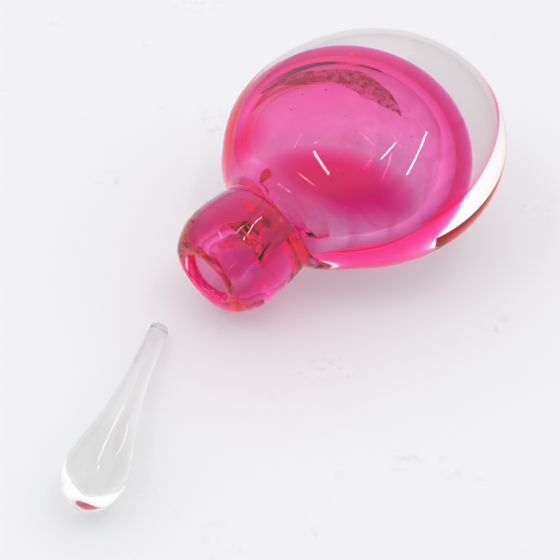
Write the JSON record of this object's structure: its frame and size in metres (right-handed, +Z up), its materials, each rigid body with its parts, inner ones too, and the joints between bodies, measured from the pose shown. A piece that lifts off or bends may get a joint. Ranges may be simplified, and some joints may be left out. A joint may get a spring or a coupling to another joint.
{
  "type": "perfume bottle",
  "caption": "Hand-blown cased-glass perfume bottle: a pink core with an open cavity inside a thick clear pebble, with a loose solid teardrop stopper.",
  "frame": {"origin": "centre of the footprint of the bottle and stopper, on the table", "axes": "+Z up from the table; +Y along the lying bottle, from its mouth towards its ground base; +X across the bottle, to the side where the stopper's bulb lies"},
  "size_m": [0.092, 0.1954, 0.0543],
  "materials": {
    "clear_glass": "polished",
    "pink_glass": "polished",
    "stopper_glass": "polished"
  },
  "bodies": {
    "bottle": {"clear_casing": "clear_glass", "pink_core": "pink_glass"},
    "stopper": {"stopper": "stopper_glass"}
  },
  "joints": [
    {"name": "stopper_lift", "type": "slide", "parent": "bottle", "child": "stopper", "axis": [0, 0, 1], "range_m": [0, 0.06]}
  ]
}
